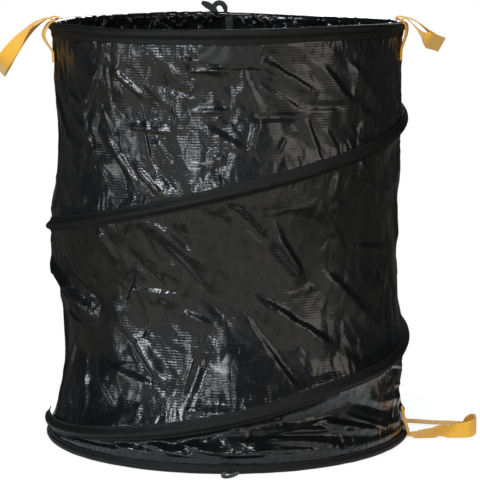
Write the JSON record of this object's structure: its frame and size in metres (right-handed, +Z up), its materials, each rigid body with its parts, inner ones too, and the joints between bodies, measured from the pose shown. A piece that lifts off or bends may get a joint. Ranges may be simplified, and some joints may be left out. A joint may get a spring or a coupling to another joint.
{
  "type": "pop up leaf bag",
  "caption": "Collapsible round garden bag of black woven sheet on a spring steel spiral, with a hemmed rim and base, webbing handles and closure loops.",
  "frame": {"origin": "on the floor at the middle of the round base", "axes": "+Z up along the bag's axis, +X towards the dump handle at the base, -Y towards the front with the label"},
  "size_m": [0.7612, 0.6117, 0.6782],
  "materials": {
    "black_sheet": "glossy coated woven polyethylene",
    "black_tape": "matt woven binding tape",
    "black_label": "matt woven patch, bare",
    "orange_webbing": "woven polypropylene webbing",
    "black_elastic": "woven elastic",
    "spring_steel": "drawn spring wire",
    "crimp_steel": "zinc plated",
    "black_plastic": "moulded"
  },
  "bodies": {
    "base": {"base_disc": "black_sheet", "bottom_hem": "black_tape", "wall_panel": "black_sheet", "spiral_sleeve": "black_tape", "spiral_wire": "spring_steel", "wire_end_cap_bottom": "black_plastic", "wire_end_cap_top": "black_plastic", "bottom_ring_wire": "spring_steel", "bottom_ring_ferrule": "crimp_steel", "dump_handle_front_tab": "orange_webbing", "dump_handle_rear_tab": "orange_webbing"},
    "rim": {"top_hem": "black_tape", "top_ring_wire": "spring_steel", "top_ring_ferrule": "crimp_steel", "label_patch": "black_label", "left_handle_front_tab": "orange_webbing", "left_handle_rear_tab": "orange_webbing", "right_handle_front_tab": "orange_webbing", "right_handle_rear_tab": "orange_webbing", "closure_strap_inside": "black_elastic"},
    "left_handle": {"left_handle_loop": "orange_webbing"},
    "right_handle": {"right_handle_loop": "orange_webbing"},
    "dump_handle": {"dump_handle_loop": "orange_webbing"},
    "top_closure": {"top_closure_loop": "black_elastic", "top_closure_tail": "black_elastic"},
    "bottom_closure": {"bottom_closure_loop": "black_elastic"}
  },
  "joints": [
    {"name": "collapse", "type": "slide", "parent": "base", "child": "rim", "axis": [0, 0, -1], "range_m": [0, 0.54], "stiffness_N_per_m": 60, "springref_m": -0.2, "deforming": ["wall_panel", "spiral_sleeve", "spiral_wire", "wire_end_cap_bottom", "wire_end_cap_top"]},
    {"name": "left_handle_swing", "type": "hinge", "parent": "rim", "child": "left_handle", "pos_m": [-0.26712, 0, 0.6591], "axis": [0, 1, 0], "range_deg": [-20, 110]},
    {"name": "right_handle_swing", "type": "hinge", "parent": "rim", "child": "right_handle", "pos_m": [0.26712, 0, 0.6591], "axis": [0, -1, 0], "range_deg": [-25, 110]},
    {"name": "dump_handle_swing", "type": "hinge", "parent": "base", "child": "dump_handle", "pos_m": [0.29199, 0, 0.0042], "axis": [0, -1, 0], "range_deg": [0, 76]},
    {"name": "top_closure_swing", "type": "hinge", "parent": "rim", "child": "top_closure", "pos_m": [0, 0.274, 0.6602], "axis": [1, 0, 0], "range_deg": [-80, 80]},
    {"name": "bottom_closure_swing", "type": "hinge", "parent": "base", "child": "bottom_closure", "pos_m": [0, -0.293, 0.0042], "axis": [-1, 0, 0], "range_deg": [0, 85]}
  ]
}
